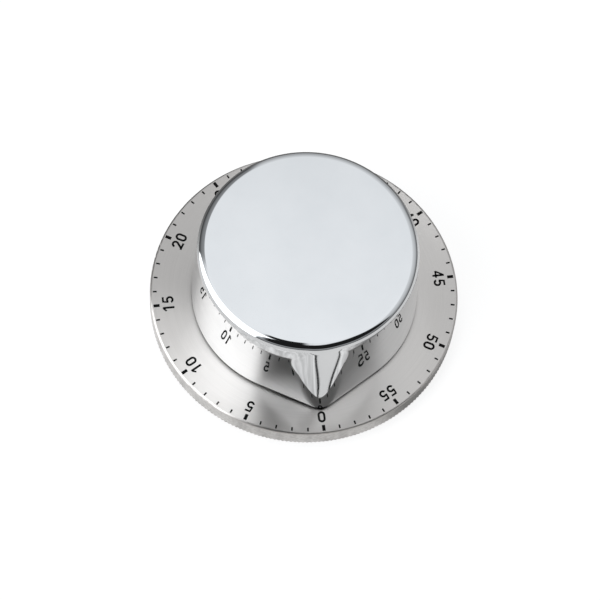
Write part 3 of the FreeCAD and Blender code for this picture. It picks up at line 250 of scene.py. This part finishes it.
def chrome_knob():
    """Chrome, faintly cloudy, with a painted shade line along the foot, standing in for the dark gap where it
    nearly meets the dial.
    """
    finish = new_finish("knob_chrome")
    where = own_place(finish)
    height = parts_of(finish, where)[2]
    cloud = noise(finish, where, 55, 4)
    chrome = blend(finish, cloud, (0.75, 0.765, 0.78, 1), (0.91, 0.915, 0.92, 1))
    # Near-black painted shade on the lowest part of the wall, where the gap to the dial lies in shadow.
    above_painted_gap_shade = smooth(finish, height, 6.6 * MM, 7.0 * MM)
    return surfaced(finish, {
        "Base Color": blend(finish, above_painted_gap_shade, grey(0.01), chrome),
        "Metallic": 1.0,
        "Roughness": 0.03 + 0.02 * cloud,
    })


def plastic(name, light, dark, roughness):
    """Moulded plastic or pressed ferrite, with a fine matt grain."""
    finish = new_finish(name)
    drift = noise(finish, own_place(finish), 900, 4)
    return surfaced(finish, {
        "Base Color": blend(finish, drift, dark, light),
        "Roughness": roughness + 0.1 * drift,
        "Normal": relief(finish, drift, 0.25, 0.05 * MM),
    })


def ink():
    """Printed black, nearly without gloss."""
    finish = new_finish("black_ink")
    grain = noise(finish, own_place(finish), 2500, 3)
    return surfaced(finish, {
        "Base Color": blend(finish, grain, grey(0.001), grey(0.005)),
        "Roughness": 0.5 + 0.2 * grain,
        "Specular IOR Level": 0.12,
    })


BLACK_INK = ink()
FINISHES = {
    "dial_steel": brushed_dial(),
    "knob_chrome": chrome_knob(),
    "tray_plastic": plastic("tray_plastic", (0.045, 0.045, 0.048, 1), (0.030, 0.030, 0.033, 1), 0.42),
    "ferrite": plastic("ferrite", (0.075, 0.073, 0.072, 1), (0.045, 0.044, 0.044, 1), 0.55),
    "screw_steel": metal("screw_steel", grey(0.62), grey(0.50), 0.25, 0.15, 1500),
    "gong_steel": metal("gong_steel", grey(0.60, 0.03), grey(0.48, 0.02), 0.30, 0.15, 800),
    "plate_steel": metal("plate_steel", grey(0.62, 0.01), grey(0.52, 0.01), 0.34, 0.12, 700),
    "arbor_steel": metal("arbor_steel", grey(0.66), grey(0.58), 0.16, 0.08, 1500),
    "spring_steel": metal("spring_steel", (0.32, 0.34, 0.40, 1), (0.24, 0.26, 0.31, 1), 0.28, 0.12, 900),
    "wheel_brass": metal("wheel_brass", (0.83, 0.62, 0.30, 1), (0.72, 0.51, 0.22, 1), 0.28, 0.12, 900),
    "black_spring": metal("black_spring", grey(0.10), grey(0.06), 0.35, 0.15, 1200),
}


def dress_nodes():
    """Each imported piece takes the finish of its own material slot."""
    for part in frame["record"]["subparts"]:
        node = nodes[part["node"]]
        finish = FINISHES[part["material_slot"]]
        if not node.material_slots:
            node.data.materials.append(finish)
        for index in range(len(node.material_slots)):
            node.material_slots[index].material = finish


# ---- bench work ----
def deselect():
    bpy.ops.object.select_all(action="DESELECT")


def settle(piece):
    """Puts a piece's place into its mesh."""
    deselect()
    piece.select_set(True)
    bpy.context.view_layer.objects.active = piece
    bpy.ops.object.transform_apply(location=True, rotation=True, scale=True)


def joined(pieces):
    """Pieces joined in the first one."""
    deselect()
    for piece in pieces:
        piece.select_set(True)
    bpy.context.view_layer.objects.active = pieces[0]
    if len(pieces) > 1:
        bpy.ops.object.join()
    return pieces[0]


def open_all():
    """Opens the active piece for work, with all of it selected."""
    bpy.ops.object.mode_set(mode="EDIT")
    bpy.ops.mesh.select_all(action="SELECT")


def pull(way):
    """Extrudes what is selected and selects the whole piece again."""
    bpy.ops.mesh.extrude_region_move(TRANSFORM_OT_translate={"value": way})
    bpy.ops.mesh.select_all(action="SELECT")


def close_shell():
    """Turns all faces outward and ends the work on the piece."""
    bpy.ops.mesh.select_all(action="SELECT")
    bpy.ops.mesh.normals_make_consistent(inside=False)
    bpy.ops.object.mode_set(mode="OBJECT")


def only_finish(piece, finish):
    piece.data.materials.clear()
    piece.data.materials.append(finish)


# ---- printed dial ----
FIVES = range(0, 60, 5)
MINUTES = [minute for minute in range(60) if minute not in FIVES]
MINUTE_STEP = 6
# Length, width and outer end's radius of each kind of bar.
MINUTE_BAR = (0.98 * MM, 0.41 * MM, 38.21 * MM)
FIVE_MINUTE_BAR = (1.56 * MM, 0.80 * MM, 38.27 * MM)
BAR_CORNER = 0.07 * MM


def printed_bar(length, width):
    """One bar of the scale at minute 45, with softened corners and the ink's thickness."""
    deselect()
    bpy.ops.mesh.primitive_plane_add(size=1, location=(0, 0, 0))
    bar = bpy.context.object
    bar.scale = (length, width, 1)
    settle(bar)
    open_all()
    bpy.ops.mesh.bevel(offset=BAR_CORNER, segments=3, affect="VERTICES")
    bpy.ops.mesh.select_all(action="SELECT")
    pull((0, 0, INK))
    close_shell()
    return bar


def minute_angle(minute):
    """Angle of a minute mark: 0 is at the front, and the numbers run clockwise."""
    return math.radians(-90 - MINUTE_STEP * minute)


def scale_of_bars(name, bar, minutes):
    """Bars copied round the dial and joined in one piece."""
    length, width, outer = bar
    first = printed_bar(length, width)
    copies = []
    for minute in minutes:
        copy = first.copy()
        copy.data = first.data.copy()
        bpy.context.collection.objects.link(copy)
        angle = minute_angle(minute)
        radius = outer - length / 2
        copy.location = (radius * math.cos(angle), radius * math.sin(angle), DIAL_FACE)
        copy.rotation_euler = (0, 0, angle)
        copies.append(copy)
    bpy.data.objects.remove(first)
    return joined_print(name, copies)


def joined_print(name, pieces):
    """Printed marks joined in one piece of ink that rides on the base."""
    whole = joined(pieces)
    whole.name = name
    settle(whole)
    only_finish(whole, BLACK_INK)
    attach(whole, "base")
    return whole


ARC_STEP = 9


def pen_stroke(start, heading, width, moves):
    """A flat stroke of the pen: a run ahead is (length,), a turn to the right is (radius, degrees)."""
    place = Vector((start[0] * MM, start[1] * MM, 0))
    turn = math.radians(heading)
    deselect()
    bpy.ops.mesh.primitive_plane_add(size=width * MM, location=(0, 0, 0))
    stroke = bpy.context.object
    open_all()
    bpy.ops.mesh.merge(type="CENTER")
    left = Vector((-math.sin(turn), math.cos(turn), 0))
    bpy.ops.transform.translate(value=place - left * width * MM / 2)
    bpy.ops.mesh.extrude_vertices_move(TRANSFORM_OT_translate={"value": left * width * MM})
    bpy.ops.mesh.select_all(action="SELECT")
    for move in moves:
        ahead = Vector((math.cos(turn), math.sin(turn), 0))
        left = Vector((-ahead.y, ahead.x, 0))
        if len(move) == 1:
            step = ahead * move[0] * MM
            bpy.ops.mesh.extrude_region_move(TRANSFORM_OT_translate={"value": step})
            place = place + step
            continue
        radius, bend = move[0] * MM, math.radians(move[1])
        middle = place - left * radius
        bpy.ops.mesh.spin(steps=round(move[1] / ARC_STEP), angle=bend, center=middle, axis=(0, 0, 1))
        turn = turn - bend
        place = middle + Vector((-math.sin(turn), math.cos(turn), 0)) * radius
    bpy.ops.mesh.select_all(action="SELECT")
    bpy.ops.mesh.remove_doubles(threshold=0.005 * MM)
    bpy.ops.mesh.select_all(action="SELECT")
    bpy.ops.mesh.normals_make_consistent(inside=False)
    pull((0, 0, INK))
    close_shell()
    return stroke


# The strokes of each figure, in millimetres: start, heading, width and moves.
FIGURES = {
    "0": [((-0.69, 1.47), 90, 0.54, [(0.52,), (0.69, 180), (1.04,), (0.69, 180), (0.52,)])],
    "1": [((0.17, 0), 90, 0.54, [(2.93,)]), ((-0.72, 2.08), 42, 0.44, [(0.95,)])],
    "2": [((-0.68, 2.02), 92, 0.54, [(0.68, 220), (1.64,)]), ((-0.95, 0.25), 0, 0.50, [(1.90,)])],
    "3": [((-0.58, 2.27), 75, 0.52, [(0.58, 245)]), ((0.12, 1.60), -10, 0.52, [(0.68, 245)])],
    "4": [
        ((0.32, 0), 90, 0.52, [(2.93,)]),
        ((-1.0, 0.86), 0, 0.46, [(1.92,)]),
        ((-0.84, 0.92), 59, 0.42, [(2.10,)]),
    ],
    "5": [
        ((-0.60, 2.69), 0, 0.48, [(1.46,)]),
        ((-0.43, 2.70), -98.5, 0.42, [(1.34,)]),
        ((-0.54, 1.415), 50, 0.52, [(0.70, 300)]),
    ],
}
FIGURE_FOOT = 33.04 * MM
FIGURE_PITCH = 2.33 * MM
FIGURE_SHIFT = 0.15 * MM


def one_figure(character):
    """All the strokes of a figure joined, its foot on the line and its middle at the origin."""
    return joined([pen_stroke(*stroke) for stroke in FIGURES[character]])


def numerals(name, minutes):
    """Bold figures drawn once and copied round the dial, their tops pointing outward."""
    drawn = {character: one_figure(character) for character in FIGURES}
    figures = []
    for minute in minutes:
        text = str(minute)
        angle = minute_angle(minute)
        for index, character in enumerate(text):
            copy = drawn[character].copy()
            copy.data = drawn[character].data.copy()
            bpy.context.collection.objects.link(copy)
            aside = (index - (len(text) - 1) / 2) * FIGURE_PITCH + FIGURE_SHIFT
            copy.location = (
                FIGURE_FOOT * math.cos(angle) + aside * math.sin(angle),
                FIGURE_FOOT * math.sin(angle) - aside * math.cos(angle),
                DIAL_FACE,
            )
            copy.rotation_euler = (0, 0, angle - math.pi / 2)
            figures.append(copy)
    for figure in drawn.values():
        bpy.data.objects.remove(figure)
    return joined_print(name, figures)


# ---- pointer knob ----
# Sizes in millimetres. The walls follow the rise, which goes from 0 at the foot to 1 at the top.
KNOB_FOOT = 6.2
KNOB_TOP = 30.7
KNOB_WALL = 1.6
KNOB_EDGE = 1.9
KNOB_CEILING = KNOB_TOP - KNOB_WALL
WALL_FOOT_RADIUS = 28.547
WALL_DRAFT = 1.35
FLARE_NEAR_FOOT = 2.5
FLARE_FADE = 0.358
FLARE_BROAD = 1.65
FLARE_POWER = 1.544
FLARE_PULL = 0.091
NOSE_FOOT_RADIUS = 0.057
NOSE_GROWTH = 19.114
NOSE_POWER = 0.396
SHARPEST_NOSE = 0.05
BOSS_FOOT = 25.5
BOSS_RADIUS = 3.6
BORE_RADIUS = 1.73
RIBS = 6
RIB_END = 24.9
RIB_THICK = 1.0
RIB_DEPTH = 1.2
NOSE_STEPS = 48
FLANK_STEPS = 10
ROUND_STEPS = 172
RING_STEPS = NOSE_STEPS + 2 * FLANK_STEPS + ROUND_STEPS
INNER_ROWS = 12
OUTER_ROWS = 48
EDGE_ROWS = 16
SMOOTH_ANGLE = math.radians(40)


def knob_sizes(z, inset):
    """Round wall's radius, the nose's radius and how far out the nose stands, at a height."""
    rise = min(max((z - KNOB_FOOT) / (KNOB_TOP - KNOB_FOOT), 0), 1)
    wall = WALL_FOOT_RADIUS - WALL_DRAFT * rise
    flare = FLARE_NEAR_FOOT * math.exp(-rise / FLARE_FADE) - FLARE_PULL * rise
    flare += FLARE_BROAD * (1 - rise) ** FLARE_POWER
    nose = NOSE_FOOT_RADIUS + NOSE_GROWTH * rise ** NOSE_POWER
    stand = wall + flare - nose
    return wall - inset, max(nose - inset, SHARPEST_NOSE), stand


def knob_ring(z, inset):
    """Points round the knob at a height: nose, flank, round wall, flank."""
    wall, nose, stand = knob_sizes(z, inset)
    half = math.acos((wall - nose) / stand)
    points = []
    for step in range(NOSE_STEPS):
        turn = half * (2 * step / NOSE_STEPS - 1)
        points.append((nose * math.sin(turn), -stand - nose * math.cos(turn)))
    nose_end = Vector((nose * math.sin(half), -stand - nose * math.cos(half)))
    wall_end = Vector((wall * math.sin(half), -wall * math.cos(half)))
    points += [nose_end.lerp(wall_end, step / FLANK_STEPS) for step in range(FLANK_STEPS)]
    for step in range(ROUND_STEPS):
        turn = half + 2 * (math.pi - half) * step / ROUND_STEPS
        points.append((wall * math.sin(turn), -wall * math.cos(turn)))
    nose_end.x, wall_end.x = -nose_end.x, -wall_end.x
    points += [wall_end.lerp(nose_end, step / FLANK_STEPS) for step in range(FLANK_STEPS)]
    return [Vector((x, y, z)) * MM for x, y in points]


def knob_rows():
    """Heights and insets of the rings: down the inner wall, up the outer wall, over the rounded edge."""
    inside = KNOB_CEILING - KNOB_FOOT
    rows = [(KNOB_FOOT + inside * (1 - step / INNER_ROWS) ** 2, KNOB_WALL) for step in range(INNER_ROWS + 1)]
    shoulder = KNOB_TOP - KNOB_EDGE
    outside = shoulder - KNOB_FOOT
    rows += [(KNOB_FOOT + outside * (step / OUTER_ROWS) ** 1.7, 0) for step in range(OUTER_ROWS + 1)]
    for step in range(1, EDGE_ROWS + 1):
        turn = math.pi / 2 * step / EDGE_ROWS
        rows.append((shoulder + KNOB_EDGE * math.sin(turn), KNOB_EDGE * (1 - math.cos(turn))))
    return rows + [(KNOB_TOP, KNOB_EDGE + 0.2), (KNOB_TOP, KNOB_EDGE + 0.5)]


def knob_cap():
    """Hollow chromed cap with its pointer, its boss and six ribs under the top."""
    rows = knob_rows()
    deselect()
    bpy.ops.mesh.primitive_circle_add(
        vertices=RING_STEPS, radius=28 * MM, fill_type="NOTHING", location=(0, 0, 0))
    cap = bpy.context.object
    cap.name = "knob_cap"
    open_all()
    for _ in rows[1:]:
        bpy.ops.mesh.extrude_region_move(TRANSFORM_OT_translate={"value": (0, 0, MM)})
    bpy.ops.object.mode_set(mode="OBJECT")
    # Each ring was extruded one millimetre above the last, so a vertex's height tells its row,
    # and its angle from the front tells its step, which counts from the nose's first point.
    shaped = [knob_ring(z, inset) for z, inset in rows]
    for vertex in cap.data.vertices:
        row = round(vertex.co.z / MM)
        turn = math.atan2(vertex.co.x, -vertex.co.y) + math.pi * NOSE_STEPS / RING_STEPS
        step = round(turn / (2 * math.pi) * RING_STEPS) % RING_STEPS
        vertex.co = shaped[row][step]
    open_all()
    bpy.ops.mesh.fill_holes(sides=0)
    close_shell()
    bpy.ops.object.shade_smooth_by_angle(angle=SMOOTH_ANGLE)
    ribs = [knob_rib(360 / RIBS * (step + 0.5)) for step in range(RIBS)]
    joined([cap, knob_boss()] + ribs)
    settle(cap)
    only_finish(cap, FINISHES["knob_chrome"])
    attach(cap, "knob")
    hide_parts("knob_shell")
    return cap


def knob_boss():
    """Tube under the cap's top that takes the arbor."""
    deselect()
    bpy.ops.mesh.primitive_circle_add(
        vertices=48, radius=BORE_RADIUS * MM, fill_type="NOTHING", location=(0, 0, BOSS_FOOT * MM))
    boss = bpy.context.object
    open_all()
    bpy.ops.mesh.extrude_region_move()
    share = BOSS_RADIUS / BORE_RADIUS
    bpy.ops.transform.resize(value=(share, share, 1))
    bpy.ops.mesh.select_all(action="SELECT")
    pull((0, 0, (KNOB_CEILING - BOSS_FOOT) * MM))
    close_shell()
    bpy.ops.object.shade_smooth_by_angle(angle=SMOOTH_ANGLE)
    return boss


def knob_rib(azimuth):
    """Stiffening rib under the cap's top, from the boss to the wall."""
    turn = math.radians(azimuth)
    length = RIB_END - BOSS_RADIUS
    middle = BOSS_RADIUS + length / 2
    height = KNOB_CEILING - RIB_DEPTH / 2
    deselect()
    bpy.ops.mesh.primitive_cube_add(size=1, location=(0, 0, 0))
    rib = bpy.context.object
    rib.scale = Vector((length, RIB_THICK, RIB_DEPTH)) * MM
    rib.location = Vector((middle * math.cos(turn), middle * math.sin(turn), height)) * MM
    rib.rotation_euler = (0, 0, turn)
    settle(rib)
    open_all()
    bpy.ops.mesh.bevel(offset=0.15 * MM, segments=2, affect="EDGES")
    bpy.ops.object.mode_set(mode="OBJECT")
    return rib


# ---- floor, studio and lamps ----
def light_path(finish, ray):
    """1 for one kind of ray, 0 for the others."""
    path = finish.tree.nodes.new("ShaderNodeLightPath")
    return Value(finish, path.outputs[ray])


def seen(finish):
    """1 for what the eye meets, straight or through something clear."""
    return light_path(finish, "Is Camera Ray") + light_path(finish, "Is Transmission Ray")


def toward(finish, x, y, azimuth, outer, inner):
    """1 in a sector round an azimuth, in degrees from rear to right, and 0 past its outer half-width."""
    turn = math.radians(azimuth)
    along = x * math.sin(turn) + y * math.cos(turn)
    cosine = along / (x * x + y * y + 0.000001) ** 0.5
    return smooth(finish, cosine, math.cos(math.radians(outer)), math.cos(math.radians(inner)))


FLOOR_RADIUS = 5
SHEET_EDGE = 47.7 * MM
SHEET_SLANT = 0.31
SHEET_LINE = 0.65 * MM
# Squares of the radii between which the painted shade beside the rim fades out.
RIM_SHADE_START = 0.0022
RIM_SHADE_END = 0.0027


def mirrored_floor(finish):
    """What metal shows of the floor: a grained sheet under the timer, its dark edge, board beyond, a darker
    stretch toward the rear, and painted shade beside the rim at the right front.
    """
    where = own_place(finish)
    x, y, _ = parts_of(finish, where)
    past_edge = y + SHEET_EDGE - SHEET_SLANT * x
    grain = smooth(finish, noise(finish, where, 420, 2), 0.3, 0.7)
    sheet = blend(finish, grain, grey(0.54), grey(0.86))
    board = blend(finish, noise(finish, where, 6, 1), grey(0.66), grey(0.72))
    surface = blend(finish, smooth(finish, past_edge, -0.2 * MM, 0.2 * MM), board, sheet)
    off_line = smooth(finish, (past_edge * past_edge) ** 0.5, SHEET_LINE * 0.4, SHEET_LINE * 0.6)
    surface = blend(finish, off_line, grey(0.004), surface)
    surface = blend(finish, toward(finish, x, y, 0, 75, 40), surface, grey(0.14))
    # Painted shade on the floor beside the rim at the right front, seen only in metal.
    painted_rim_shade_reach = 1.0 - smooth(finish, x * x + y * y, RIM_SHADE_START, RIM_SHADE_END)
    return blend(finish, toward(finish, x, y, 120, 42, 22) * painted_rim_shade_reach * 0.80, surface, grey(0.10))


def floor():
    """White floor that keeps the timer's shadow."""
    deselect()
    bpy.ops.mesh.primitive_circle_add(vertices=64, radius=FLOOR_RADIUS, fill_type="NGON", location=(0, 0, 0))
    ground = bpy.context.object
    ground.name = "pale_floor"
    finish = new_finish("pale_floor")
    matt_colour = blend(finish, noise(finish, own_place(finish), 3, 2), grey(0.26), grey(0.28))
    matt = finish.node("ShaderNodeBsdfDiffuse", sockets={"Color": matt_colour})
    glow = finish.node("ShaderNodeEmission", sockets={"Color": grey(1.0), "Strength": 0.82})
    lit = finish.node("ShaderNodeAddShader", sockets={0: matt, 1: glow})
    surface = finish.node("ShaderNodeMixShader", sockets={"Fac": seen(finish), 1: matt, 2: lit})
    in_metal = finish.node("ShaderNodeEmission", sockets={"Color": mirrored_floor(finish)})
    glossy = light_path(finish, "Is Glossy Ray")
    surface = finish.node("ShaderNodeMixShader", sockets={"Fac": glossy, 1: surface, 2: in_metal})
    finish.show("ShaderNodeOutputMaterial", surface)
    ground.data.materials.append(finish.owner)


ROOM_BY_HEIGHT = [
    (0.0, grey(0.10)), (0.17, grey(0.16)), (0.34, grey(0.30)), (0.45, grey(0.42)), (0.55, grey(0.52)),
    (0.71, grey(0.60)), (0.86, grey(0.72)), (0.89, grey(0.90)), (0.92, grey(0.96)), (1.0, grey(0.90)),
]
# The point of the ceiling that flat metal mirrors, as the x and y of its direction.
MIRRORED_ASIDE = 0.093
MIRRORED_AHEAD = 0.414


def studio(finish):
    """How bright the room is in each direction: a tall window at the left, a dark front, a grey ceiling."""
    x, y, z = parts_of(finish, finish.node("ShaderNodeTexCoord", output="Generated"))
    room = finish.node("ShaderNodeValToRGB", {"stops": ROOM_BY_HEIGHT}, {"Fac": z})
    room = finish.node("ShaderNodeSeparateColor", sockets={"Color": room})
    window = toward(finish, x, y, -97, 38, 36) * (1.0 - smooth(finish, z, 0.93, 0.98))
    front = toward(finish, x, y, 166, 54, 47) * (1.0 - smooth(finish, z, 0.935, 0.98))
    shelf = toward(finish, x, y, 20, 32, 22) * (1.0 - smooth(finish, z, 0.30, 0.42))
    aside, ahead = x - MIRRORED_ASIDE, y - MIRRORED_AHEAD
    away = smooth(finish, aside * aside + ahead * ahead, 0.012, 0.035)
    strip = toward(finish, aside, ahead, -160, 14, 9) * away
    corner = toward(finish, aside, ahead, -56, 38, 28) * away
    dark = (front + strip - front * strip) * (1.0 - window) * smooth(finish, z, 0.36, 0.44)
    walls = room * (1.0 - window) * (1.0 - dark) * (1.0 - corner * 0.60)
    pane = 1.2 + 0.9 * light_path(finish, "Is Glossy Ray")
    return walls + shelf * 0.22 + dark * 0.012 + window * pane


def world():
    """White to the eye, and the studio to everything else."""
    sky = bpy.data.worlds.new("studio")
    bpy.context.scene.world = sky
    finish = Finish(sky)
    eye = seen(finish)
    strength = eye + (1.0 - eye) * studio(finish)
    tint = blend(finish, eye, (0.97, 1.0, 1.03, 1), grey(1.0))
    back = finish.node("ShaderNodeBackground", sockets={"Color": tint, "Strength": strength})
    finish.show("ShaderNodeOutputWorld", back)


# Each lamp's name, place, size in metres and power in watts. All of them face the timer.
LAMPS = [
    ("window_left", (-1.2, -0.4, 1.1), (1.0, 1.2), 6),
    ("overhead", (0.2, 0.5, 1.6), (1.4, 1.0), 6),
    ("fill_right", (1.3, -0.8, 0.8), (0.6, 0.8), 2),
]


def softbox(name, place, size, power):
    """A soft lamp that metal doesn't mirror, because the studio is already painted for it."""
    data = bpy.data.lights.new(name, "AREA")
    data.shape = "RECTANGLE"
    data.size, data.size_y = size
    data.energy = power
    lamp = bpy.data.objects.new(name, data)
    bpy.context.collection.objects.link(lamp)
    lamp.location = place
    lamp.rotation_mode = "QUATERNION"
    lamp.visible_glossy = False
    lamp.rotation_quaternion = (-Vector(place)).to_track_quat("-Z", "Y")


# ---- the making ----
set_camera()
dress_nodes()
knob_cap()
scale_of_bars("minute_bars", MINUTE_BAR, MINUTES)
scale_of_bars("five_minute_bars", FIVE_MINUTE_BAR, FIVES)
numerals("dial_numerals", FIVES)
floor()
world()
for lamp in LAMPS:
    softbox(*lamp)
bpy.context.scene.view_settings.view_transform = "Standard"
